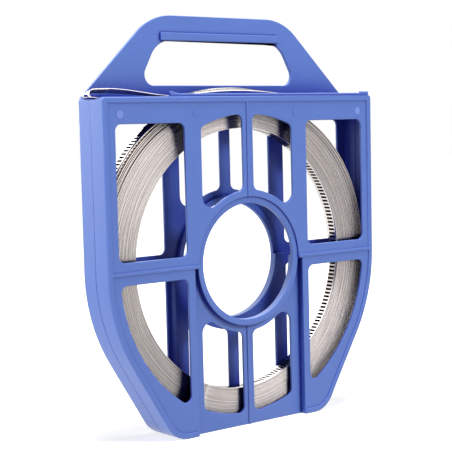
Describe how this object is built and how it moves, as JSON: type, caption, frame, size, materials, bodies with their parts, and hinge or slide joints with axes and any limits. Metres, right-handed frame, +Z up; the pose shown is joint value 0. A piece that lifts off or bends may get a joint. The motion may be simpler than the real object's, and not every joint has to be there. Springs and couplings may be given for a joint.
{
  "type": "coil of hose clamp band in a carrying case",
  "caption": "Slotted steel hose clamp band wound in a coil inside an open blue moulded case with a carrying handle; the band's free end leaves by a slot in the top.",
  "frame": {"origin": "middle of the flat base that the case stands on, on the seam plane between its halves", "axes": "+Z up, towards the handle; -Y towards the front half, so that the handle's plate is at the back (+Y); X across the width, the band leaving at the top on the -X side"},
  "size_m": [0.2647, 0.0342, 0.3127],
  "materials": {
    "case": "moulded polypropylene, satin",
    "band": "bright rolled stainless strip"
  },
  "bodies": {
    "root": {"front_shell": "case", "back_shell": "case", "band": "band"}
  },
  "joints": []
}
